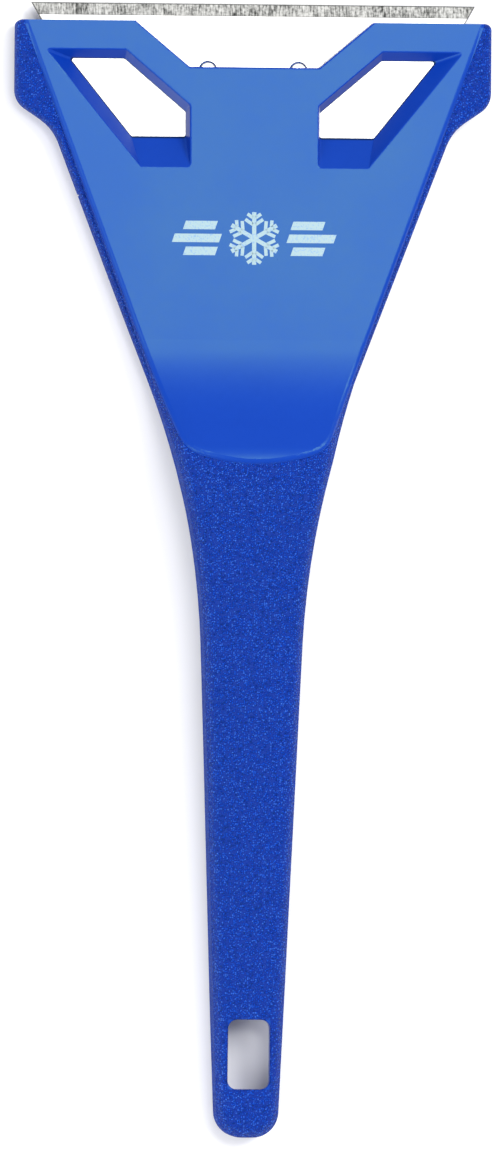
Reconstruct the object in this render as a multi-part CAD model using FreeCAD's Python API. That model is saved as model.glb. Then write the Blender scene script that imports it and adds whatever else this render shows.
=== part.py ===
import FreeCAD, Part
import math
import os

# Wide blade ice scraper, lying on its back: +X is across, +Y is toward the cutting edge,
# +Z is up out of the smooth face, and z = 0 is the table under the back.  Millimetres.

V = FreeCAD.Vector
os.makedirs("parts", exist_ok=True)

# driving sizes of the whole tool
EDGE_Y = 127.0                 # cutting edge
HEAD_Y = 123.0                 # front edge of the head
TAIL_Y = -127.0                # end of the handle
FACE_Z = 8.0                   # smooth face at the front edge of the head
FACE_RISE = 3.0 / 69.0         # the smooth face climbs this much per mm toward the handle
LEDGE_Z = 8.0                  # textured ears and margins are level
COVER_END_Y = 83.7             # front end of the back cover
BOTTOM_ROUND = 2.4             # soft lower edge of the handle and of the head's rim
FRONT_ROUND = 0.5              # front edge of the head
RIM_ROUND = 1.1                # soft upper edge along the sides of the head
PAD_ROUND = 1.2                # soft edge along the sides and the lip of the smooth face
LIP_ROUND = 0.4                # softer edge of the windows, notch and hanging hole
SEAM = 0.3                     # width and depth of the groove along the joint line

# silhouette, right half, from the front edge to the tail: x, y, corner radius
SILHOUETTE = [(53.5, HEAD_Y, 1.4), (53.5, 104.7, 5.0), (44.8, 98.8, 11.0),
              (12.3, 13.8, 189.0), (6.85, TAIL_Y, 5.8)]
HOLLOW = [(34.0, 82.6, 2.0), (9.75, 13.8, 189.0), (4.4, TAIL_Y + 2.5, 3.0)]

# smooth face: half-width at the front edge, narrowing per mm, lean of its side walls per mm,
# and the corner at the lip with its lower end
PAD_HALF = 52.2
PAD_SLOPE = 0.368
PAD_DRAFT = 0.05
PAD_LOW_Y = 26.67
PAD_BEND_Y = 42.0              # the face bends up into a ramp here

# side lines of the handle from the tail to the head: y, height, bend radius
TOP = [(TAIL_Y - 1, 10.6), (26.0, 19.5)]
UNDER = [(TAIL_Y - 1, 0.0, 0), (-98.0, 0.0, 60.0), (-40.0, 3.8, 150.0), (12.0, 6.0, 60.0),
         (60.0, 0.0, 60.0), (90.0, 0.0, 0)]
JOINT = [(TAIL_Y - 1, 5.4, 0), (-98.0, 5.6, 60.0), (-40.0, 8.6, 150.0), (12.0, 10.8, 50.0),
         (56.0, 5.0, 50.0), (90.0, 5.0, 0)]

# the blade and the clamp around it
BLADE_Z = 4.4
BLADE_T = 0.6
BLADE_TOP = BLADE_Z + BLADE_T
BLADE_HALF = 50.0              # half of the 100 mm cutting edge
BLADE_REAR_Y = 92.0
BLADE_REAR_HALF = 29.8
BEVEL = 2.7                    # width of the ground bevel
SLOT_R = 2.1
POST_X = 10.2                  # pins and screws stand this far each side of the middle
PIN_Y = 112.1
SCREW_Y = 98.0
PLATE_Z = 2.0                  # underside of the clamp plate
PLATE = [(50.2, 122.7, 1.0), (50.2, 106.4, 3.0), (41.7, 99.9, 8.0), (36.6, 86.0, 2.0)]
LAND_Z = 4.6                   # the front shell stays this high round the blade
RAMP_START_Y = 100.0           # the underside rises from here to clear the glass
RAMP = 0.126

# windows beside the middle of the face: at the blade, and where they meet the face
# with the corner radius there
WINDOW_LOW = [(41.2, 114.5), (29.0, 114.5), (15.15, 102.7), (15.1, 97.17), (27.3, 97.17)]
WINDOW_TOP = [(47.0, 116.5, 0.3), (28.9, 116.5, 0.9), (14.5, 104.2, 0.9), (14.45, 90.25, 0.9),
              (25.6, 90.25, 0.9)]

# hanging hole
HANG_Y = -108.3
HANG_W = 9.4
HANG_L = 15.6
HANG_R = 2.0
HANG_SKIN = 2.4                # the hole widens below this depth, where it goes through the shells' insides
HANG_STEP = 1.2

# cover screws: x, y, length of the screw
COVER_SCREWS = [(0.0, -88.0, 9.0), (0.0, -30.0, 9.0), (0.0, 27.0, 11.0),
                (-20.0, 70.0, 7.3), (20.0, 70.0, 7.3)]
COVER_SHANK_R = 1.45
COVER_SINK = 0.55              # the screw heads lie this far inside the surface

# machine screws and their brass inserts
SCREW_R = 1.75
INSERT_R = 2.5
INSERT_TOP = 8.0


def face_z(y):
    """Height of the smooth face above the table."""
    return FACE_Z + FACE_RISE * (HEAD_Y - y)


def under_z(y):
    """Height of the handle's underside above the table."""
    for (y0, z0, r0), (y1, z1, r1) in zip(UNDER, UNDER[1:]):
        if y0 <= y <= y1:
            return z0 + (z1 - z0) * (y - y0) / (y1 - y0)
    return 0.0


def wire(points, z=0.0, plane="xy"):
    """Closed outline from (a, b, corner radius) points; round corners become arcs."""
    def place(a, b):
        if plane == "xy":
            return V(a, b, z)
        return V(z, a, b)
    cuts = []
    n = len(points)
    for i in range(n):
        a, b, r = points[i]
        here = V(a, b, 0)
        if r <= 0:
            cuts.append((here, here, here))
            continue
        before = V(points[i - 1][0], points[i - 1][1], 0)
        after = V(points[(i + 1) % n][0], points[(i + 1) % n][1], 0)
        u = (before - here).normalize()
        w = (after - here).normalize()
        half = u.getAngle(w) / 2.0
        reach = r / math.tan(half)
        middle = (u + w).normalize()
        centre = here + middle * (r / math.sin(half))
        cuts.append((here + u * reach, centre - middle * r, here + w * reach))
    edges = []
    for i in range(n):
        start, mid, end = cuts[i]
        following = cuts[(i + 1) % n][0]
        if start.distanceToPoint(end) > 1e-6:
            arc = Part.Arc(place(start.x, start.y), place(mid.x, mid.y), place(end.x, end.y))
            edges.append(arc.toShape())
        if end.distanceToPoint(following) > 1e-4:
            edges.append(Part.makeLine(place(end.x, end.y), place(following.x, following.y)))
    return Part.Wire(edges)


def both_sides(half):
    """Whole outline from its right half, which runs from the front to the tail."""
    return half + [(-x, y, r) for x, y, r in reversed(half)]


def slab(points, z0, z1):
    """Outline in plan, made solid from z0 to z1."""
    return Part.Face(wire(points, z0)).extrude(V(0, 0, z1 - z0))


def lengthwise(points, half_width=60.0):
    """Side outline in y and z, made solid across the whole width."""
    return Part.Face(wire(points, -half_width, "yz")).extrude(V(2 * half_width, 0, 0))


def between(low, low_shift, high, high_shift):
    """Everything between two side lines, each moved up by its shift."""
    lower = [(y, z + low_shift, r) for y, z, r in low]
    upper = [(y, z + high_shift, r) for y, z, r in reversed(high)]
    return lengthwise(lower + upper)


def above(line, shift, top=30.0):
    """Everything above a side line."""
    lower = [(y, z + shift, r) for y, z, r in line]
    return lengthwise(lower + [(line[-1][0], top, 0), (line[0][0], top, 0)])


def below(line, shift, bottom=-5.0):
    """Everything below a side line."""
    upper = [(y, z + shift, r) for y, z, r in reversed(line)]
    return lengthwise([(line[0][0], bottom, 0), (line[-1][0], bottom, 0)] + upper)


def behind(y):
    """Everything on the tail's side of y."""
    return block(-70, 70, TAIL_Y - 5, y, -10, 40)


def cylinder(x, y, r, z0, z1):
    return Part.makeCylinder(r, z1 - z0, V(x, y, z0))


def cone(x, y, r0, r1, z0, z1):
    return Part.makeCone(r0, r1, z1 - z0, V(x, y, z0))


def block(x0, x1, y0, y1, z0, z1):
    return Part.makeBox(x1 - x0, y1 - y0, z1 - z0, V(x0, y0, z0))


def grown(points, gap, z0, z1):
    """Outline in plan moved out by gap (in when negative), made solid."""
    outline = wire(points, z0).makeOffset2D(gap)
    return Part.Face(outline).extrude(V(0, 0, z1 - z0))


def rectangle(cx, cy, w, h, r):
    return [(cx + w / 2, cy + h / 2, r), (cx + w / 2, cy - h / 2, r),
            (cx - w / 2, cy - h / 2, r), (cx - w / 2, cy + h / 2, r)]


def edges_where(shape, test):
    return [e for e in shape.Edges if test(e)]


def middle_of(edge):
    return edge.valueAt((edge.FirstParameter + edge.LastParameter) / 2.0)


def below_ramp():
    """Everything under the rising underside of the head."""
    far = 140.0
    rise = (far - RAMP_START_Y) * RAMP
    return lengthwise([(RAMP_START_Y, -5, 0), (far, -5, 0), (far, rise, 0), (RAMP_START_Y, 0, 0)])


def head_slab():
    """Level textured ears and margins of the head."""
    full = slab(both_sides(SILHOUETTE), 0.0, LEDGE_Z)
    body = full.common(block(-60, 60, 16, 130, -1, LEDGE_Z + 1))
    rim = edges_where(body, lambda e: middle_of(e).z > LEDGE_Z - 0.01 and
                      16.5 < middle_of(e).y < HEAD_Y - 0.01)
    body = body.makeFillet(RIM_ROUND, rim)
    foot = edges_where(body, lambda e: middle_of(e).z < 0.01 and middle_of(e).y > 16.5)
    return body.makeFillet(BOTTOM_ROUND, foot)


def grip_solid():
    """Round-edged handle whose top runs down into the head."""
    (tail_y, tail_z), (lip_y, lip_z) = TOP
    side = [(tail_y, -1, 0), (56, -1, 0), (56, 3.0, 0), (lip_y, lip_z, 9.0), (tail_y, tail_z, 0)]
    body = slab(both_sides(SILHOUETTE), 0.0, 25.0).common(lengthwise(side))
    top = edges_where(body, lambda e: middle_of(e).z > 4.5 and middle_of(e).y < 55 and
                      abs(middle_of(e).x) > 0.5 and
                      abs(e.tangentAt(e.FirstParameter).z) < 0.7)
    tail = edges_where(body, lambda e: middle_of(e).y < TAIL_Y + 0.1 and middle_of(e).z > 10)
    return body.makeFillet(2.8, top + tail)


def smooth_pad():
    """Raised smooth face: a wedge on the head that ramps up to the handle."""
    outlines = []
    for z in (5.0, 24.0):
        top_x = PAD_HALF - PAD_DRAFT * (z - FACE_Z)
        low_x = top_x - PAD_SLOPE * (HEAD_Y - PAD_LOW_Y)
        outline = both_sides([(top_x, HEAD_Y, 0), (low_x, PAD_LOW_Y, 6.8)])
        outline.insert(2, (0, PAD_LOW_Y - 0.3 * low_x, 42.0))
        outlines.append(wire(outline, z))
    tent = Part.makeLoft(outlines, True, True)
    lip_y, lip_z = TOP[1]
    side = [(HEAD_Y, 4.0, 0), (HEAD_Y, FACE_Z, 0), (PAD_BEND_Y, face_z(PAD_BEND_Y), 42.0),
            (lip_y, lip_z + 0.65, 8.0), (18.0, lip_z + 0.1, 0), (18.0, 4.0, 0)]
    return tent.common(lengthwise(side))


def round_pad(pad):
    """Soft edge along the sides and the lip of the smooth face."""
    def outer(e):
        m = middle_of(e)
        across = abs(e.tangentAt(e.FirstParameter).x) > 0.999 and abs(m.x) < 0.01
        return m.z > 7.8 and m.y < 122.9 and not across
    return pad.makeFillet(PAD_ROUND, edges_where(pad, outer))


def window(side):
    """Opening over the blade: five sloping walls that widen toward the face."""
    top = 14.0
    low = [(side * x, y, 0.5) for x, y in WINDOW_LOW]
    high = []
    for (x0, y0), (x1, y1, r) in zip(WINDOW_LOW, WINDOW_TOP):
        t = (top - BLADE_TOP) / (face_z(y1) - BLADE_TOP)
        high.append((side * (x0 + (x1 - x0) * t), y0 + (y1 - y0) * t, r))
    bottom = []
    for (x0, y0, r0), (x1, y1, r1) in zip(low, high):
        t = 1.0 / (top - BLADE_TOP)
        bottom.append((x0 - (x1 - x0) * t, y0 - (y1 - y0) * t, 0.46))
    return Part.makeLoft([wire(bottom, BLADE_TOP - 1.0), wire(high, top)], True, True)


def notch():
    """Wide notch in the front edge that bares the middle of the blade."""
    half = [(26.8 + 7 * 1.19, HEAD_Y + 7, 0), (26.8, HEAD_Y, 0), (14.6, 112.75, 1.0)]
    return slab(both_sides(half), LAND_Z - 1.0, 20.0)


def blade_outline(gap, front, rear):
    slope = (BLADE_HALF - BLADE_REAR_HALF) / (EDGE_Y - BLADE_REAR_Y)
    wide = BLADE_HALF + gap + slope * (front - EDGE_Y)
    narrow = BLADE_HALF + gap + slope * (rear - EDGE_Y)
    return both_sides([(wide, front, 0), (narrow, rear, 0)])


def hang_hole(z0, z1, grow=0.0):
    return slab(rectangle(0, HANG_Y, HANG_W + 2 * grow, HANG_L + 2 * grow, HANG_R + grow), z0, z1)


def wide_hole():
    """The wider lower part of the hanging hole."""
    (tail_y, tail_z), (lip_y, lip_z) = TOP
    low = HANG_Y - HANG_L / 2 - tail_y
    roof = tail_z + (lip_z - tail_z) * low / (lip_y - tail_y) - HANG_SKIN
    return hang_hole(-1, roof, HANG_STEP)


def handle_room():
    """Hollow inside the front shell, open below, with bosses and ribs left standing."""
    ceiling = [(TAIL_Y - 1, 0, 0), (84, 0, 0), (84, 7.1, 0), (46, 8.5, 20.0),
               (25.5, 16.9, 5.0), (TAIL_Y - 1, 8.2, 0)]
    room = slab(both_sides(HOLLOW), 0, 25).common(lengthwise(ceiling)).common(above(JOINT, -1.0))
    room = room.cut(hang_hole(0, 25, HANG_STEP + 1.4))
    for x, y, length in COVER_SCREWS:
        room = room.cut(cylinder(x, y, 3.1, 0, 25))
    for y in (-64.0, -8.0, 50.0):
        rib = block(-40, 40, y - 0.8, y + 0.8, 0, 25)
        room = room.cut(rib.common(above(JOINT, 1.9)))
    return room


def front_edge():
    """What has to go to round the long front edge of the head."""
    y = HEAD_Y - FRONT_ROUND
    z = face_z(y) - FRONT_ROUND
    bar = Part.makeCylinder(FRONT_ROUND, 140, V(-70, y, z), V(1, 0, 0))
    return block(-65, 65, y, y + 2, z, z + 2).cut(bar)


def opening_lip(edge):
    """True for the upper edges of the windows, the notch and the hanging hole."""
    m = middle_of(edge)
    if m.y < -90:
        return m.z > 9 and abs(m.x) < HANG_W / 2 + 0.1 and abs(m.y - HANG_Y) < HANG_L / 2 + 0.1
    on_face = abs(m.z - face_z(m.y)) < 0.02
    return on_face and 89 < m.y < 122.6 and abs(m.x) < PAD_HALF - PAD_SLOPE * (HEAD_Y - m.y) - 1.6


def seam():
    """Narrow groove round the outside where the front shell meets the back cover."""
    ring = grown(both_sides(SILHOUETTE), 0.5, 0, 20).cut(grown(both_sides(SILHOUETTE), -SEAM, -1, 21))
    band = between(JOINT, -SEAM / 2, JOINT, SEAM / 2)
    return ring.common(band).common(behind(COVER_END_Y + 0.3))


def front_body():
    pad = round_pad(smooth_pad())
    body = head_slab().fuse(grip_solid()).fuse(pad).removeSplitter()
    body = body.cut(front_edge()).cut(notch())
    for side in (-1, 1):
        body = body.cut(window(side))
    body = body.cut(hang_hole(-1, 20))
    body = body.makeFillet(LIP_ROUND, edges_where(body, opening_lip))
    # room for the clamp plate and the blade, open to the front
    room = grown(both_sides(PLATE), 0.3, -1, LAND_Z)
    room = room.fuse(block(-50.5, 50.5, 118, 130, -1, LAND_Z))
    room = room.fuse(slab(blade_outline(0.35, 130, 91.8), LAND_Z - 1, BLADE_TOP))
    body = body.cut(room).cut(below_ramp())
    # the handle part stops at the joint line, where the back cover meets it
    body = body.cut(below(JOINT, 0.0).common(behind(COVER_END_Y + 0.3)))
    body = body.cut(handle_room()).cut(wide_hole())
    for side in (-1, 1):
        body = body.cut(cylinder(side * POST_X, PIN_Y, 2.2, BLADE_TOP - 0.5, 6.2))
        body = body.cut(cylinder(side * POST_X, SCREW_Y, INSERT_R, BLADE_TOP - 0.5, INSERT_TOP))
    for x, y, length in COVER_SCREWS:
        body = body.cut(cylinder(x, y, COVER_SHANK_R, 0, under_z(y) + COVER_SINK + length + 0.3))
    return body.cut(seam())


def cover_foot(edge):
    """True for the lower edges along the sides and round the tail of the back cover."""
    m = middle_of(edge)
    if m.y > COVER_END_Y - 0.1 or m.z > under_z(m.y) + 0.6:
        return False
    lengthways = abs(m.x) > 5 and abs(edge.tangentAt(edge.FirstParameter).z) < 0.5
    return lengthways or m.y < TAIL_Y + 0.1


def back_cover():
    shell = between(UNDER, 0.0, JOINT, 0.0)
    body = slab(both_sides(SILHOUETTE), -1, 20).common(shell).common(behind(COVER_END_Y))
    body = body.makeFillet(BOTTOM_ROUND, edges_where(body, cover_foot))
    keep = hang_hole(-1, 20, HANG_STEP + 1.4)
    clear = hang_hole(-1, 20, HANG_STEP + 1.7)
    for x, y, length in COVER_SCREWS:
        keep = keep.fuse(cylinder(x, y, 3.1, -1, 20))
        clear = clear.fuse(cylinder(x, y, 3.4, -1, 20))
    tray = grown(both_sides(HOLLOW), -1.25, -1, 20).common(above(UNDER, 2.0))
    tongue = grown(both_sides(HOLLOW), -0.15, -1, 20).cut(grown(both_sides(HOLLOW), -1.25, -2, 21))
    tongue = tongue.common(between(JOINT, -0.5, JOINT, 1.3)).cut(clear)
    body = body.cut(tray.cut(keep)).fuse(tongue).removeSplitter()
    for x, y, length in COVER_SCREWS:
        z = under_z(y) + COVER_SINK
        body = body.cut(cylinder(x, y, 1.6, -1, 20))
        body = body.cut(cone(x, y, 2.95, 1.6, z - 0.05, z + 1.45))
        body = body.cut(cylinder(x, y, 2.95, -1, z - 0.05))
    return body.cut(wide_hole()).cut(seam())


def clamp_plate():
    body = slab(both_sides(PLATE), PLATE_Z, BLADE_Z)
    half = [(24.0 + 3 * 1.2, HEAD_Y + 3, 0), (24.0, HEAD_Y, 0), (18.0, 117.5, 1.5)]
    body = body.cut(slab(both_sides(half), 0, 10))
    body = body.cut(below_ramp())
    for side in (-1, 1):
        x = side * POST_X
        body = body.cut(cylinder(x, SCREW_Y, 1.95, 0, 10))
        body = body.cut(cylinder(x, SCREW_Y, 4.2, 0, 3.3))
        body = body.cut(cylinder(x, PIN_Y, SCREW_R, 0, 10))
        # shallow panels that lighten the underside of each ear
        panel = [(side * 46.5, 104.5, 1.2), (side * 46.5, 107.5, 1.2), (side * 24.0, 107.5, 1.2),
                 (side * 19.0, 90.5, 1.2), (side * 34.0, 90.5, 1.2), (side * 38.5, 101.5, 1.2)]
        body = body.cut(slab(panel, 0, PLATE_Z + 0.8))
    return body


def blade():
    body = slab(blade_outline(0.0, EDGE_Y, BLADE_REAR_Y), BLADE_Z, BLADE_TOP)
    for side in (-1, 1):
        x = side * POST_X
        body = body.cut(cylinder(x, PIN_Y, SLOT_R, BLADE_Z - 1, BLADE_TOP + 1))
        body = body.cut(block(x - SLOT_R, x + SLOT_R, BLADE_REAR_Y - 1, PIN_Y, BLADE_Z - 1, BLADE_TOP + 1))
    bevel = [(EDGE_Y - BEVEL, BLADE_TOP, 0), (EDGE_Y + 1, BLADE_TOP - 0.75, 0), (EDGE_Y + 1, BLADE_TOP + 1, 0),
             (EDGE_Y - BEVEL, BLADE_TOP + 1, 0)]
    return body.cut(lengthwise(bevel))


def locating_pin(side):
    x = side * POST_X
    body = cylinder(x, PIN_Y, SCREW_R, 2.2, 5.6)
    ends = edges_where(body, lambda e: e.Curve.TypeId == "Part::GeomCircle")
    return body.makeChamfer(0.25, ends)


def clamp_washer(side):
    x = side * POST_X
    return cylinder(x, SCREW_Y, 3.9, 2.8, 3.3).cut(cylinder(x, SCREW_Y, 1.9, 2, 4))


def cross_recess(x, y, z0, depth, span, width):
    cross = block(x - span, x + span, y - width, y + width, z0, z0 + depth)
    return cross.fuse(block(x - width, x + width, y - span, y + span, z0, z0 + depth))


def clamp_screw(side):
    x = side * POST_X
    head = cylinder(x, SCREW_Y, 3.3, 1.2, 2.8)
    rim = edges_where(head, lambda e: middle_of(e).z < 1.21 and e.Curve.TypeId == "Part::GeomCircle")
    head = head.makeFillet(0.6, rim)
    shank = cylinder(x, SCREW_Y, SCREW_R, 2.7, 7.4).fuse(cone(x, SCREW_Y, SCREW_R, 1.35, 7.4, 7.8))
    body = head.fuse(shank).removeSplitter()
    return body.cut(cross_recess(x, SCREW_Y, 1.0, 1.2, 1.9, 0.4))


def threaded_insert(side):
    x = side * POST_X
    body = cylinder(x, SCREW_Y, INSERT_R, BLADE_TOP, INSERT_TOP)
    groove = cylinder(x, SCREW_Y, INSERT_R + 1, 6.2, 6.8).cut(cylinder(x, SCREW_Y, INSERT_R - 0.35, 6, 7))
    return body.cut(groove).cut(cylinder(x, SCREW_Y, SCREW_R + 0.05, 4, 9))


def cover_screw(x, y, length):
    z = under_z(y) + COVER_SINK
    tip = z + length
    head = cone(x, y, 2.8, COVER_SHANK_R, z, z + 1.5)
    shank = cylinder(x, y, COVER_SHANK_R, z + 1.4, tip - 1.0)
    point = cone(x, y, COVER_SHANK_R, 0.5, tip - 1.0, tip)
    body = head.fuse(shank).fuse(point).removeSplitter()
    return body.cut(cross_recess(x, y, z - 0.1, 1.1, 1.5, 0.32))


def save(name, shape):
    if shape.ShapeType != "Solid":
        solids = shape.Solids
        if len(solids) != 1:
            print(name, "has", len(solids), "solids")
        shape = solids[0] if len(solids) == 1 else Part.makeCompound(solids)
    box = shape.BoundBox
    print("%-24s valid %s  volume %9.1f  x %.2f..%.2f  y %.2f..%.2f  z %.2f..%.2f" % (
        name, shape.isValid(), shape.Volume, box.XMin, box.XMax, box.YMin, box.YMax, box.ZMin, box.ZMax))
    shape.exportStep("parts/%s.step" % name)


save("front_body", front_body())
save("back_cover", back_cover())
save("clamp_plate", clamp_plate())
save("blade", blade())
for name, side in (("left", -1), ("right", 1)):
    save("locating_pin_" + name, locating_pin(side))
    save("clamp_washer_" + name, clamp_washer(side))
    save("clamp_screw_" + name, clamp_screw(side))
    save("threaded_insert_" + name, threaded_insert(side))
for number, (x, y, length) in enumerate(COVER_SCREWS, 1):
    save("cover_screw_%d" % number, cover_screw(x, y, length))
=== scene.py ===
# %% [markdown]
# # A wide-blade ice scraper
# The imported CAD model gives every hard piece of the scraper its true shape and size.  This script adds what
# CAD can't hold: the two finishes of the blue moulding, the look of ground steel and plated screws, the white
# mark printed on the face, and a plain studio to see it in.  Nothing here moves a CAD piece.

# %% Load the frame
import math

import bmesh
import bpy
from mathutils import Matrix, Vector


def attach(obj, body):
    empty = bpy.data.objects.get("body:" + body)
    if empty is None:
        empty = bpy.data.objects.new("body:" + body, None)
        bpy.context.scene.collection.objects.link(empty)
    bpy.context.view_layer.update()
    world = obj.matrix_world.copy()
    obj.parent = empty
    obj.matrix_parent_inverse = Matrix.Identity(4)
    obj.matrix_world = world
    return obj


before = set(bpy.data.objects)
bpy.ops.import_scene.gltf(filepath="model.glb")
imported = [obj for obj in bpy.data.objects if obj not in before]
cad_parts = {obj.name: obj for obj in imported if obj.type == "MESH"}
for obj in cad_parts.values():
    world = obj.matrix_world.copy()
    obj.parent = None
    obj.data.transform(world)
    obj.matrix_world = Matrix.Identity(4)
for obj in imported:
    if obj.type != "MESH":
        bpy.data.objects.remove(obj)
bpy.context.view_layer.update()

MM = 0.001

# %% [markdown]
# ## Sizes shared with the CAD
# The smooth face is a wedge: level with the ears at the front edge, then climbing toward the handle.  The mark
# lies on that slope, and the finish changes where the wedge ends, so both need the same few numbers.

# %% Sizes of the smooth face
HEAD_Y = 123.0
FACE_Z = 8.0
FACE_RISE = 3.0 / 69.0
FACE_SIDE_X = 52.2           # half-width of the smooth face at the front edge
FACE_SIDE_SLOPE = 0.368      # how fast it narrows toward the handle
FACE_DRAFT = 0.05            # lean of its side walls
LIP_CENTRE_Y = 65.66         # the lower end is an arc about this point
LIP_RADIUS = 42.0


def face_height(y):
    return FACE_Z + FACE_RISE * (HEAD_Y - y)


print("face height at the mark: %.2f mm" % face_height(74.0))

# %% [markdown]
# ## Building materials from nodes
# A material here is a small network.  A few helpers keep the cells readable: one adds a node and fills its
# inputs, either with a value or with another node's output, and the others do one step each: a sum, a stretch
# from one range to another, or a blend.

# %% Node helpers
def add(tree, kind, inputs=None, **settings):
    """Adds a node; inputs maps a socket's name or number to a value or to another socket."""
    made = tree.nodes.new(kind)
    for name, value in settings.items():
        setattr(made, name, value)
    for key, value in (inputs or {}).items():
        socket = made.inputs[key]
        if isinstance(value, bpy.types.NodeSocket):
            tree.links.new(value, socket)
        else:
            socket.default_value = value
    return made


def sums(tree, operation, a, b=0.0, c=0.0):
    """One Math node; returns its result."""
    return add(tree, "ShaderNodeMath", {0: a, 1: b, 2: c}, operation=operation).outputs[0]


def spread(tree, value, low, high, new_low=0.0, new_high=1.0):
    """Stretches a value from one range to another, smoothly and without overshoot."""
    inputs = {"Value": value, "From Min": low, "From Max": high, "To Min": new_low, "To Max": new_high}
    return add(tree, "ShaderNodeMapRange", inputs, interpolation_type="SMOOTHSTEP").outputs["Result"]


def blend_colour(tree, factor, first, second):
    made = add(tree, "ShaderNodeMix", {0: factor}, data_type="RGBA")
    for socket, value in ((made.inputs[6], first), (made.inputs[7], second)):
        if isinstance(value, bpy.types.NodeSocket):
            tree.links.new(value, socket)
        else:
            socket.default_value = value
    return made.outputs[2]


def blend_value(tree, factor, first, second):
    return add(tree, "ShaderNodeMix", {0: factor, 2: first, 3: second}).outputs[0]


def in_mm(tree, value):
    """Blender works in metres; the masks are easier to read in millimetres."""
    return sums(tree, "MULTIPLY", value, 1000.0)


def new_material(name):
    """A material with its node tree, its shader and a coordinate fixed to the object."""
    made = bpy.data.materials.new(name)
    made.use_nodes = True
    tree = made.node_tree
    place = add(tree, "ShaderNodeTexCoord").outputs["Object"]
    return made, tree, tree.nodes["Principled BSDF"], place


HELPERS = (add, sums, spread, blend_colour, blend_value, in_mm, new_material)
print("helpers:", ", ".join(helper.__name__ for helper in HELPERS))

# %% [markdown]
# A node group is a network with named sockets that several materials can share.  Each group below is one
# effect, built once and given different values by each material that uses it.  Its inputs are listed as name,
# kind and starting value, and its outputs as name and kind.

# %% A helper that opens a new group
def new_group(name, inputs, outputs):
    """Returns the new tree, what it is given and what it puts out."""
    tree = bpy.data.node_groups.new(name, "ShaderNodeTree")
    for title, kind, default in inputs:
        socket = tree.interface.new_socket(title, in_out="INPUT", socket_type="NodeSocket" + kind)
        if default is not None:
            socket.default_value = default
    for title, kind in outputs:
        tree.interface.new_socket(title, in_out="OUTPUT", socket_type="NodeSocket" + kind)
    start = tree.nodes.new("NodeGroupInput")
    end = tree.nodes.new("NodeGroupOutput")
    return tree, start.outputs, end.inputs


def use(tree, group, **inputs):
    """Places a group in a material; underscores in names stand for spaces."""
    placed = add(tree, "ShaderNodeGroup", node_tree=group)
    for name, value in inputs.items():
        socket = placed.inputs[name.replace("_", " ")]
        if isinstance(value, bpy.types.NodeSocket):
            tree.links.new(value, socket)
        else:
            socket.default_value = value
    return placed.outputs


print("groups so far:", len(bpy.data.node_groups))

# %% [markdown]
# ## Pebble grain
# The handle, the ears and the margins have a moulded-in grain: low rounded pebbles not quite half a millimetre
# across with narrow valleys between them.  A Voronoi pattern gives cells, and pushing its coordinates about
# with noise keeps them from looking like a honeycomb.  It is only about a quarter of a millimetre deep, so a
# bump shows it well enough and the CAD mesh stays as it is.  The colour also carries painted light: some
# pebbles get a painted highlight, a bright spark, and others get painted shade as if they sat low; the cell
# colour, random from one cell to the next, picks them out.  The crest output lets the valleys take painted
# shade and the crests painted light.

# %% Group: pebble grain
def make_pebble_grain():
    tree, given, out = new_group(
        "Pebble grain",
        [("Vector", "Vector", None), ("Size", "Float", 0.00045), ("Uneven", "Float", 0.5)],
        [("Height", "Float"), ("Crest", "Float"), ("Spark", "Float"), ("Pit shade", "Float")])
    cells = add(tree, "ShaderNodeVectorMath", {0: given["Vector"]}, operation="SCALE")
    tree.links.new(sums(tree, "DIVIDE", 1.0, given["Size"]), cells.inputs["Scale"])
    drift = add(tree, "ShaderNodeTexNoise", {"Vector": cells.outputs[0], "Scale": 0.9, "Detail": 2.0})
    middle = {0: drift.outputs["Color"], 1: (0.5, 0.5, 0.5)}
    centred = add(tree, "ShaderNodeVectorMath", middle, operation="SUBTRACT")
    pushed = add(tree, "ShaderNodeVectorMath", {0: centred.outputs[0]}, operation="SCALE")
    tree.links.new(given["Uneven"], pushed.inputs["Scale"])
    both = {0: cells.outputs[0], 1: pushed.outputs[0]}
    place = add(tree, "ShaderNodeVectorMath", both, operation="ADD")
    pebble = add(tree, "ShaderNodeTexVoronoi", {"Vector": place.outputs[0], "Scale": 1.0}, feature="F1")
    dome = spread(tree, pebble.outputs["Distance"], 0.08, 0.75, 1.0, 0.0)
    grit = add(tree, "ShaderNodeTexNoise", {"Vector": place.outputs[0], "Scale": 2.2, "Detail": 3.0})
    height = sums(tree, "MULTIPLY_ADD", grit.outputs["Fac"], 0.6, dome)
    tree.links.new(height, out["Height"])
    tree.links.new(spread(tree, height, 0.45, 1.05), out["Crest"])
    lot = add(tree, "ShaderNodeSeparateColor", {0: pebble.outputs["Color"]}).outputs[0]
    tip = spread(tree, pebble.outputs["Distance"], 0.60, 0.15)
    # painted highlight on bright cells and painted shade on dark ones, strongest at each cell's middle
    tree.links.new(sums(tree, "MULTIPLY", spread(tree, lot, 0.52, 1.0), tip), out["Spark"])
    tree.links.new(sums(tree, "MULTIPLY", spread(tree, lot, 0.46, 0.10), tip), out["Pit shade"])
    return tree


pebble_grain = make_pebble_grain()
print("group:", pebble_grain.name)

# %% [markdown]
# ## Uneven colour
# Moulded plastic is never one perfect colour: the pigment runs in faint clouds, and a handled part is a touch
# duller in patches.  Two sizes of noise, each only a few percent strong, break up the flatness.

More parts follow.
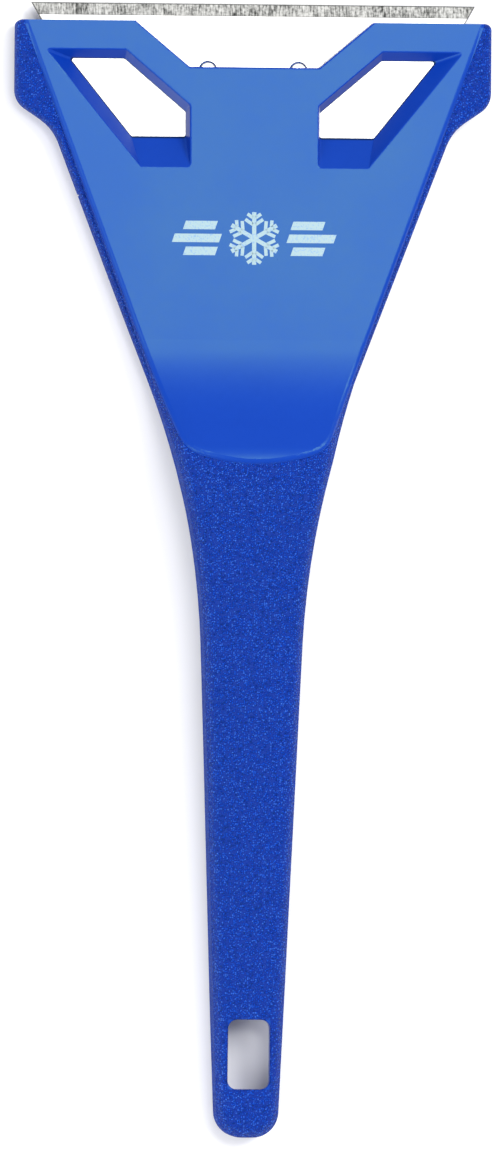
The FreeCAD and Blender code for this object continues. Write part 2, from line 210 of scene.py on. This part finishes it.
# %% Group: clouded colour
def make_clouded_colour():
    tree, given, out = new_group(
        "Clouded colour",
        [("Vector", "Vector", None), ("Colour", "Color", (0.5, 0.5, 0.5, 1)), ("Size", "Float", 0.03),
         ("Amount", "Float", 0.08)],
        [("Colour", "Color"), ("Cloud", "Float")])
    scaled = add(tree, "ShaderNodeVectorMath", {0: given["Vector"]}, operation="SCALE")
    tree.links.new(sums(tree, "DIVIDE", 1.0, given["Size"]), scaled.inputs["Scale"])
    wide = add(tree, "ShaderNodeTexNoise", {"Vector": scaled.outputs[0], "Scale": 1.0, "Detail": 3.0})
    fine = add(tree, "ShaderNodeTexNoise", {"Vector": scaled.outputs[0], "Scale": 22.0, "Detail": 2.0})
    cloud = sums(tree, "MULTIPLY_ADD", fine.outputs["Fac"], 0.35, wide.outputs["Fac"])
    level = spread(tree, cloud, 0.35, 1.0)
    swing = sums(tree, "MULTIPLY", sums(tree, "SUBTRACT", level, 0.5), given["Amount"])
    shift = {"Color": given["Colour"], "Value": sums(tree, "ADD", swing, 1.0)}
    bright = add(tree, "ShaderNodeHueSaturation", shift)
    tree.links.new(bright.outputs["Color"], out["Colour"])
    tree.links.new(level, out["Cloud"])
    return tree


clouded_colour = make_clouded_colour()
print("group:", clouded_colour.name)

# %% [markdown]
# ## Painted edge highlights
# Edges catch the light, and that is painted into the colour: a painted highlight makes plastic a little paler
# there, and metal brighter.  A Bevel node gives the normal an edge would have if it were rounder; where that
# differs from the true normal, there is an edge nearby.

# %% Group: painted edge highlight
def make_painted_edge_highlight():
    tree, given, out = new_group(
        "Painted edge highlight",
        [("Vector", "Vector", None), ("Reach", "Float", 0.0004), ("Patchy", "Float", 0.5)],
        [("Mask", "Float")])
    round_normal = add(tree, "ShaderNodeBevel", samples=4)
    tree.links.new(given["Reach"], round_normal.inputs["Radius"])
    true_normal = add(tree, "ShaderNodeNewGeometry")
    pair = {0: round_normal.outputs[0], 1: true_normal.outputs["Normal"]}
    close = add(tree, "ShaderNodeVectorMath", pair, operation="DOT_PRODUCT")
    edge = spread(tree, close.outputs["Value"], 0.99, 0.85)
    patches = add(tree, "ShaderNodeTexNoise", {"Vector": given["Vector"], "Scale": 260.0, "Detail": 3.0})
    broken_up = spread(tree, patches.outputs["Fac"], 0.35, 0.65)
    kept = blend_value(tree, given["Patchy"], 1.0, broken_up)
    # the mask for the painted edge highlight, broken up in patches
    tree.links.new(sums(tree, "MULTIPLY", edge, kept), out["Mask"])
    return tree


painted_edge_highlight = make_painted_edge_highlight()
print("group:", painted_edge_highlight.name)

# %% [markdown]
# ## Where the moulding is smooth
# The tool's face is polished and the rest is grained, and both are one piece of plastic, so one material
# needs a mask.  The mask repeats the outline of the raised face: two straight sides that lean inward, and an
# arc at the lower end, joined by a soft corner.  A smooth maximum of the two distances gives that corner.

# %% Group: smooth face mask
CORNER_BLEND = 4.3           # how softly the sides turn into the lower end
HOLE_HALF_X = 4.75           # the hanging hole, whose walls are smooth too
HOLE_HALF_Y = 7.85
HOLE_Y = -108.3


def make_face_mask():
    tree, given, out = new_group("Smooth face mask", [("Vector", "Vector", None)], [("Smooth", "Float")])
    parts = add(tree, "ShaderNodeSeparateXYZ", {0: given["Vector"]}).outputs
    across = in_mm(tree, sums(tree, "ABSOLUTE", parts["X"]))
    along = in_mm(tree, parts["Y"])
    up = sums(tree, "MAXIMUM", in_mm(tree, parts["Z"]), FACE_Z)
    lean = sums(tree, "MULTIPLY", sums(tree, "SUBTRACT", up, FACE_Z), FACE_DRAFT)
    narrowing = sums(tree, "MULTIPLY", sums(tree, "SUBTRACT", HEAD_Y, along), FACE_SIDE_SLOPE)
    limit = sums(tree, "SUBTRACT", sums(tree, "SUBTRACT", FACE_SIDE_X, lean), narrowing)
    past_side = sums(tree, "SUBTRACT", across, limit)
    squared = sums(tree, "SUBTRACT", LIP_RADIUS ** 2, sums(tree, "MULTIPLY", across, across))
    arc_y = sums(tree, "SUBTRACT", LIP_CENTRE_Y, sums(tree, "SQRT", sums(tree, "MAXIMUM", squared, 0.0)))
    past_lip = sums(tree, "SUBTRACT", arc_y, along)
    outside = sums(tree, "SMOOTH_MAX", past_side, past_lip, CORNER_BLEND)
    on_face = spread(tree, outside, -0.12, -0.25)
    hole_x = sums(tree, "SUBTRACT", across, HOLE_HALF_X)
    hole_y = sums(tree, "SUBTRACT", sums(tree, "ABSOLUTE", sums(tree, "SUBTRACT", along, HOLE_Y)), HOLE_HALF_Y)
    in_hole = spread(tree, sums(tree, "MAXIMUM", hole_x, hole_y), 0.05, 0.0)
    tree.links.new(sums(tree, "MAXIMUM", on_face, in_hole), out["Smooth"])
    return tree


face_mask = make_face_mask()
print("group:", face_mask.name)

# %% [markdown]
# ## The blue plastic
# One pigment, two surfaces.  On the smooth face the plastic is satin: it mirrors the studio light softly, with
# a very shallow ripple left by the mould.  On the grain the light is broken up into small sparks, partly by the
# bump and partly as painted highlights in the colour, with painted shade in the valleys and low pebbles, and
# steep walls scatter it more than level ones.  The same recipe serves the front shell, which alone has the
# smooth face, the back cover and the clamp plate.

# %% Material: blue moulding
SMOOTH_BLUE = (0.0020, 0.0340, 0.3430, 1)
SHADED_VALLEY_BLUE = (0.0005, 0.0130, 0.2600, 1)
LIT_CREST_BLUE = (0.0014, 0.0520, 0.5100, 1)
SPARK_HIGHLIGHT_BLUE = (0.0700, 0.2000, 0.7200, 1)
PIT_SHADE_BLUE = (0.0003, 0.0010, 0.0700, 1)
EDGE_HIGHLIGHT_BLUE = (0.08, 0.20, 0.58, 1)
GLOSS_TINT = (0.30, 0.68, 0.12, 1)      # the pigment in the skin of the plastic colours its gloss a little
SMOOTH_ROUGH = 0.27


def contact_shadow_line(tree, place, smooth):
    """A thin dark line of painted contact shadow where the window walls and the notch come down on the blade.
    """
    parts = add(tree, "ShaderNodeSeparateXYZ", {0: place}).outputs
    height = in_mm(tree, parts["Z"])
    just_above = spread(tree, height, 5.36, 5.16)
    not_below = spread(tree, height, 4.94, 4.98)
    in_head = spread(tree, in_mm(tree, parts["Y"]), 86.0, 87.0)
    foot = sums(tree, "MULTIPLY", just_above, not_below)
    return sums(tree, "MULTIPLY", sums(tree, "MULTIPLY", foot, in_head), smooth)


def wall_mask(tree):
    """1 where the surface is steep, 0 where it is level."""
    facing = add(tree, "ShaderNodeTexCoord").outputs["Normal"]
    upright = add(tree, "ShaderNodeSeparateXYZ", {0: facing}).outputs["Z"]
    return spread(tree, sums(tree, "ABSOLUTE", upright), 0.75, 0.35)


def blue_plastic(name, masked=False, pebble=0.00045, depth=0.00028, grain_rough=0.50):
    made, tree, shader, place = new_material(name)
    smooth = use(tree, face_mask, Vector=place)["Smooth"] if masked else 0.0
    grain = use(tree, pebble_grain, Vector=place, Size=pebble, Uneven=0.5)
    edge_highlight = use(tree, painted_edge_highlight, Vector=place, Reach=0.00035, Patchy=0.6)["Mask"]
    # painted shade in the valleys and painted light on the crests, then painted highlights on sparks and
    # painted shade in pits
    grained = blend_colour(tree, grain["Crest"], SHADED_VALLEY_BLUE, LIT_CREST_BLUE)
    grained = blend_colour(tree, sums(tree, "MULTIPLY", grain["Spark"], 0.48), grained, SPARK_HIGHLIGHT_BLUE)
    grained = blend_colour(tree, sums(tree, "MULTIPLY", grain["Pit shade"], 0.8), grained, PIT_SHADE_BLUE)
    base = blend_colour(tree, smooth, grained, SMOOTH_BLUE)
    clouded = use(tree, clouded_colour, Vector=place, Colour=base, Size=0.035, Amount=0.10)
    # painted highlight: edges a little paler
    with_painted_light = blend_colour(tree, sums(tree, "MULTIPLY", edge_highlight, 0.12), clouded["Colour"], EDGE_HIGHLIGHT_BLUE)
    if masked:
        # painted contact shadow at the foot of the window walls and the notch
        line = sums(tree, "MULTIPLY", contact_shadow_line(tree, place, smooth), 0.85)
        with_painted_light = blend_colour(tree, line, with_painted_light, (0.001, 0.004, 0.03, 1))
    tree.links.new(with_painted_light, shader.inputs["Base Color"])
    rough_grain = sums(tree, "MULTIPLY_ADD", grain["Crest"], -0.12, grain_rough)
    rough_grain = sums(tree, "MULTIPLY_ADD", wall_mask(tree), 0.35, rough_grain)
    rough_smooth = sums(tree, "MULTIPLY_ADD", clouded["Cloud"], 0.05, SMOOTH_ROUGH)
    tree.links.new(blend_value(tree, smooth, rough_grain, rough_smooth), shader.inputs["Roughness"])
    ripple = add(tree, "ShaderNodeTexNoise", {"Vector": place, "Scale": 420.0, "Detail": 2.0})
    low_ripple = sums(tree, "MULTIPLY", ripple.outputs["Fac"], 0.03)
    height = blend_value(tree, smooth, grain["Height"], low_ripple)
    bump = add(tree, "ShaderNodeBump", {"Strength": 1.0, "Distance": depth, "Height": height})
    tree.links.new(bump.outputs["Normal"], shader.inputs["Normal"])
    shader.inputs["IOR"].default_value = 1.47
    shader.inputs["Specular Tint"].default_value = GLOSS_TINT
    return made


shell_blue = blue_plastic("shell_blue", masked=True)
cover_blue = blue_plastic("cover_blue")
plate_blue = blue_plastic("plate_blue", pebble=0.0003, depth=0.00003, grain_rough=0.42)
print("plastics:", shell_blue.name, cover_blue.name, plate_blue.name)

# %% [markdown]
# ## The blade steel
# The flat of the blade is bright rolled strip with very fine lines along its length.  The last few millimetres
# are ground to a bevel, and the stone leaves a grey, blotchy band with short scratches square to the edge.

# %% Material: ground steel
BEVEL_START_Y = 124.3
BLADE_EDGE_Y = 127.0
BLADE_HALF = 50.0            # half the length of the cutting edge
END_SLANT = 0.577            # the ends lean inward by this much for each millimetre from the edge


def blade_steel():
    made, tree, shader, place = new_material("blade_steel")
    parts = add(tree, "ShaderNodeSeparateXYZ", {0: place}).outputs
    along_mm = in_mm(tree, parts["Y"])
    across_mm = in_mm(tree, sums(tree, "ABSOLUTE", parts["X"]))
    on_bevel = spread(tree, along_mm, BEVEL_START_Y - 0.05, BEVEL_START_Y + 0.05)
    along = add(tree, "ShaderNodeMapping", {"Vector": place, "Scale": (60.0, 4200.0, 60.0)})
    rolled = add(tree, "ShaderNodeTexNoise", {"Vector": along.outputs[0], "Scale": 1.0, "Detail": 3.0})
    square = add(tree, "ShaderNodeMapping", {"Vector": place, "Scale": (2600.0, 420.0, 400.0)})
    scratches = add(tree, "ShaderNodeTexNoise", {"Vector": square.outputs[0], "Scale": 1.0, "Detail": 4.0})
    patchy = {"Vector": place, "Scale": 170.0, "Detail": 4.0, "Roughness": 0.65}
    blotches = add(tree, "ShaderNodeTexNoise", patchy)
    pits = add(tree, "ShaderNodeTexNoise", {"Vector": place, "Scale": 1500.0, "Detail": 3.0})
    tone = sums(tree, "MULTIPLY", scratches.outputs["Fac"], 0.75)
    tone = sums(tree, "MULTIPLY_ADD", blotches.outputs["Fac"], 0.55, tone)
    tone = sums(tree, "MULTIPLY_ADD", pits.outputs["Fac"], 0.5, tone)
    stone = spread(tree, tone, 0.62, 1.15)
    ground = blend_colour(tree, stone, (0.02, 0.021, 0.02, 1), (0.44, 0.44, 0.425, 1))
    roller = spread(tree, rolled.outputs["Fac"], 0.3, 0.7)
    bright = blend_colour(tree, roller, (0.52, 0.515, 0.50, 1), (0.58, 0.575, 0.56, 1))
    # painted shade: dark lines along the sheared ends and the very edge; the line where grinding stopped is
    # darker too
    end_x = sums(tree, "MULTIPLY_ADD", along_mm, END_SLANT, BLADE_HALF - END_SLANT * BLADE_EDGE_Y)
    end_shade = spread(tree, sums(tree, "SUBTRACT", end_x, across_mm), 0.42, 0.16)
    from_line = sums(tree, "ABSOLUTE", sums(tree, "SUBTRACT", along_mm, BEVEL_START_Y))
    at_line = sums(tree, "MULTIPLY", spread(tree, from_line, 0.16, 0.05), 0.6)
    edge_shade = spread(tree, along_mm, BLADE_EDGE_Y - 0.30, BLADE_EDGE_Y - 0.12)
    shade_and_grind_line = sums(tree, "MAXIMUM", end_shade, sums(tree, "MAXIMUM", at_line, edge_shade))
    body = blend_colour(tree, on_bevel, bright, ground)
    body = blend_colour(tree, sums(tree, "MULTIPLY", shade_and_grind_line, 0.9), body, (0.05, 0.05, 0.05, 1))
    tree.links.new(body, shader.inputs["Base Color"])
    flat_rough = spread(tree, rolled.outputs["Fac"], 0.25, 0.75, 0.36, 0.46)
    tree.links.new(blend_value(tree, on_bevel, flat_rough, 0.5), shader.inputs["Roughness"])
    height = blend_value(tree, on_bevel, sums(tree, "MULTIPLY", rolled.outputs["Fac"], 0.12), tone)
    bump = add(tree, "ShaderNodeBump", {"Strength": 0.6, "Distance": 0.00001, "Height": height})
    tree.links.new(bump.outputs["Normal"], shader.inputs["Normal"])
    shader.inputs["Metallic"].default_value = 1.0
    return made


steel = blade_steel()
print("steel:", steel.name)

# %% [markdown]
# ## Turned and plated metal
# Pins, screws, washers and inserts are small bright pieces with a very fine, uneven surface.  One recipe with a
# tint and a roughness covers them all: bare steel, bright zinc and brass.

# %% Material: turned metal
def turned_metal(name, colour, rough):
    made, tree, shader, place = new_material(name)
    clouded = use(tree, clouded_colour, Vector=place, Colour=colour, Size=0.0015, Amount=0.14)
    edge_highlight = use(tree, painted_edge_highlight, Vector=place, Reach=0.00012, Patchy=0.3)["Mask"]
    # painted highlight: edges brighter, toward white
    lit = blend_colour(tree, sums(tree, "MULTIPLY", edge_highlight, 0.25), clouded["Colour"], (0.95, 0.95, 0.95, 1))
    tree.links.new(lit, shader.inputs["Base Color"])
    uneven = spread(tree, clouded["Cloud"], 0.0, 1.0, rough - 0.05, rough + 0.08)
    tree.links.new(uneven, shader.inputs["Roughness"])
    tiny = add(tree, "ShaderNodeTexNoise", {"Vector": place, "Scale": 6000.0, "Detail": 2.0})
    bump = add(tree, "ShaderNodeBump", {"Strength": 0.4, "Distance": 0.000004, "Height": tiny.outputs["Fac"]})
    tree.links.new(bump.outputs["Normal"], shader.inputs["Normal"])
    shader.inputs["Metallic"].default_value = 1.0
    return made


pin_steel = turned_metal("pin_steel", (0.78, 0.78, 0.77, 1), 0.30)
bright_zinc = turned_metal("bright_zinc", (0.72, 0.74, 0.77, 1), 0.24)
turned_brass = turned_metal("turned_brass", (0.80, 0.56, 0.22, 1), 0.28)
print("metals:", pin_steel.name, bright_zinc.name, turned_brass.name)

# %% [markdown]
# Now each CAD piece gets its finish.  The names say what a piece is, so the start of a name is enough; the
# clamp plate is listed before the other clamp pieces because it is plastic and they are plated.

# %% Give every CAD piece its finish
FINISH_BY_START = {
    "front_body": shell_blue,
    "back_cover": cover_blue,
    "clamp_plate": plate_blue,
    "blade": steel,
    "locating_pin": pin_steel,
    "threaded_insert": turned_brass,
    "clamp_": bright_zinc,
    "cover_screw": bright_zinc,
}
for name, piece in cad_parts.items():
    finish = next(value for start, value in FINISH_BY_START.items() if name.startswith(start))
    for place in piece.material_slots:
        place.material = finish
print("finished", len(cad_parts), "CAD pieces")

# %% [markdown]
# ## The printed mark
# The face carries a small white mark.  It is thin ink, so it is modelled as thin as ink: flat shapes with a few
# hundredths of a millimetre of thickness, laid on the sloping face.  The design is a plain snowflake between
# slanted bars, which says what the tool is for and nothing about who made it.

# %% Ink shapes
def strip(bm, length, width, x, y, turn=0.0, slant=0.0):
    """A flat bar in mm, its middle at x, y; slant leans its ends over."""
    corners = bmesh.ops.create_grid(bm, x_segments=1, y_segments=1, size=0.5)["verts"]
    bmesh.ops.scale(bm, vec=(length, width, 1), verts=corners)
    for corner in corners:
        corner.co.x += slant * corner.co.y
    bmesh.ops.rotate(bm, cent=(0, 0, 0), matrix=Matrix.Rotation(turn, 3, "Z"), verts=corners)
    bmesh.ops.translate(bm, vec=(x, y, 0), verts=corners)
    return corners


def snowflake(bm, reach, width):
    """Six arms round a hexagon, each with two pairs of branches."""
    hub = bmesh.ops.create_circle(bm, cap_ends=True, segments=6, radius=width * 1.05)["verts"]
    bmesh.ops.rotate(bm, cent=(0, 0, 0), matrix=Matrix.Rotation(math.radians(30), 3, "Z"), verts=hub)
    for arm in range(6):
        turn = math.radians(60 * arm + 90)
        pieces = strip(bm, reach - width * 0.9, width, (reach + width * 0.9) / 2, 0)
        for out, size in ((0.50, 0.34), (0.76, 0.24)):
            for side in (-1, 1):
                lean = side * math.radians(55)
                middle = size * reach / 2 + width * 0.35
                x = out * reach + middle * math.cos(lean)
                y = middle * math.sin(lean) + side * width * 0.1
                pieces += strip(bm, size * reach, width * 0.8, x, y, turn=lean)
        bmesh.ops.rotate(bm, cent=(0, 0, 0), matrix=Matrix.Rotation(turn, 3, "Z"), verts=pieces)


def to_object(bm, name, material, body):
    """Turns a finished bmesh into an object that rides on a CAD body."""
    mesh = bpy.data.meshes.new(name)
    bm.to_mesh(mesh)
    bm.free()
    made = bpy.data.objects.new(name, mesh)
    bpy.context.scene.collection.objects.link(made)
    made.data.materials.append(material)
    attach(made, body)
    print("%-22s %6d faces" % (name, len(mesh.polygons)))
    return made


trial = bmesh.new()
snowflake(trial, 1.0, 0.16)
print("a snowflake is", len(trial.faces), "flat shapes")
trial.free()

# %% [markdown]
# The ink is a matt white that lets a little of the blue through.  Small specks, where the ink went on thin, are
# bluer still.

# %% Material: white ink
INK_WHITE = (0.27, 0.40, 0.44, 1)
THIN_INK = (0.16, 0.30, 0.50, 1)


def white_ink():
    made, tree, shader, place = new_material("white_ink")
    clouded = use(tree, clouded_colour, Vector=place, Colour=INK_WHITE, Size=0.004, Amount=0.16)
    specks = add(tree, "ShaderNodeTexNoise", {"Vector": place, "Scale": 2600.0, "Detail": 3.0})
    thin = spread(tree, specks.outputs["Fac"], 0.50, 0.68)
    tree.links.new(blend_colour(tree, thin, clouded["Colour"], THIN_INK), shader.inputs["Base Color"])
    tree.links.new(spread(tree, clouded["Cloud"], 0.0, 1.0, 0.35, 0.5), shader.inputs["Roughness"])
    bump = add(tree, "ShaderNodeBump", {"Strength": 0.4, "Distance": 0.00001, "Height": specks.outputs["Fac"]})
    tree.links.new(bump.outputs["Normal"], shader.inputs["Normal"])
    return made


ink = white_ink()
print("ink:", ink.name)

# %% [markdown]
# The mark is drawn flat round its own middle, given its thickness, tilted to the slope of the face and moved
# into place.  The ink starts a hair below the surface, so no gap shows under it.

# %% Lay the mark on the face
MARK_Y = 74.4
INK = 0.05                   # thickness of the ink
FLAKE_REACH = 5.9
FLAKE_WIDTH = 0.95
BAR_WIDTH = 1.9
BAR_PITCH = 2.9
BAR_SLANT = 0.35
BAR_LENGTHS = ((-1, 7.2), (0, 10.6), (1, 7.2))


def make_mark():
    bm = bmesh.new()
    snowflake(bm, FLAKE_REACH, FLAKE_WIDTH)
    for side in (-1, 1):
        for row, length in BAR_LENGTHS:
            start = 7.6 + 0.9 * abs(row)
            strip(bm, length, BAR_WIDTH, side * (start + length / 2), row * BAR_PITCH, slant=BAR_SLANT)
    bmesh.ops.solidify(bm, geom=bm.faces[:], thickness=INK)
    bmesh.ops.recalc_face_normals(bm, faces=bm.faces[:])
    slope = Matrix.Rotation(-math.atan(FACE_RISE), 4, "X")
    up = Matrix.Translation((0, MARK_Y, face_height(MARK_Y) + INK * 0.4))
    bmesh.ops.transform(bm, matrix=Matrix.Scale(MM, 4) @ up @ slope, verts=bm.verts[:])
    return to_object(bm, "printed_mark", ink, "handle")


printed_mark = make_mark()

# %% [markdown]
# ## The studio
# The floor is a big pale sheet under the tool.  A soft box almost overhead is what the flat face mirrors; a
# key light from the upper right throws the soft shadow to the left, and a wide fill opens it up.

# %% Floor
FLOOR_HALF = 3.0             # metres, far more than any view shows
PAPER_WHITE = (0.93, 0.93, 0.93, 1)


def make_floor():
    made, tree, shader, place = new_material("paper")
    clouded = use(tree, clouded_colour, Vector=place, Colour=PAPER_WHITE, Size=0.2, Amount=0.01)
    tree.links.new(clouded["Colour"], shader.inputs["Base Color"])
    shader.inputs["Roughness"].default_value = 0.9
    shader.inputs["Specular IOR Level"].default_value = 0.1
    bm = bmesh.new()
    bmesh.ops.create_grid(bm, x_segments=1, y_segments=1, size=FLOOR_HALF)
    bmesh.ops.translate(bm, vec=(0, 0, -0.0001), verts=bm.verts[:])
    mesh = bpy.data.meshes.new("floor")
    bm.to_mesh(mesh)
    bm.free()
    floor = bpy.data.objects.new("floor", mesh)
    bpy.context.scene.collection.objects.link(floor)
    floor.data.materials.append(made)
    return floor


floor = make_floor()
print("floor: %.0f m square" % (2 * FLOOR_HALF))

# %% [markdown]
# Lights that are large for their distance give soft shadows.  The world adds an even white from all sides, so
# that no wall goes black.

# %% Lights
def soft_light(name, place, aim, width, height, power):
    lamp = bpy.data.lights.new(name, "AREA")
    lamp.shape = "RECTANGLE"
    lamp.size = width
    lamp.size_y = height
    lamp.energy = power
    made = bpy.data.objects.new(name, lamp)
    bpy.context.scene.collection.objects.link(made)
    made.location = place
    made.rotation_euler = (Vector(aim) - Vector(place)).to_track_quat("-Z", "Y").to_euler()
    made.visible_camera = False
    return made


soft_light("overhead_box", (0.17, 0.29, 1.7), (0, 0.05, 0), 0.62, 0.28, 7.2)
soft_light("key", (0.62, 0.50, 1.15), (0, 0, 0), 0.60, 0.60, 11.5)
soft_light("fill", (-0.7, -0.5, 1.0), (0, 0, 0), 0.9, 0.9, 9.0)

world = bpy.data.worlds.new("studio")
bpy.context.scene.world = world
world.use_nodes = True
background = world.node_tree.nodes["Background"]
background.inputs["Color"].default_value = (1, 1, 1, 1)
background.inputs["Strength"].default_value = 0.68
print("lights:", [lamp.name for lamp in bpy.data.lights], "world:", world.name)

# %% [markdown]
# ## The camera
# A long lens looks down at the face from a little to the left of the tool's middle, so lines across the tool
# stay parallel.  The view is turned by less than half a degree, as a hand-set camera would be.

# %% Camera
LEAN = math.radians(5.8)
ROLL = math.radians(0.42)
DISTANCE = 4.0
VIEW_HEIGHT = 0.2593         # metres that the view covers from top to bottom, at the tool
SENSOR = 36.0                # mm, the long side of the view
TARGET = (-0.00075, -0.00175, 0.006)


def make_camera():
    lens = bpy.data.cameras.new("camera")
    lens.sensor_width = SENSOR
    lens.lens = DISTANCE * SENSOR / VIEW_HEIGHT
    lens.clip_start = 0.05
    lens.clip_end = 20.0
    made = bpy.data.objects.new("camera", lens)
    bpy.context.scene.collection.objects.link(made)
    turn = Matrix.Rotation(-LEAN, 4, "Y") @ Matrix.Rotation(ROLL, 4, "Z")
    made.matrix_world = Matrix.Translation(TARGET) @ turn @ Matrix.Translation((0, 0, DISTANCE))
    bpy.context.scene.camera = made
    return made


camera = make_camera()
bpy.context.scene.view_settings.view_transform = "Standard"
print("lens %.0f mm at %.1f m" % (camera.data.lens, DISTANCE))
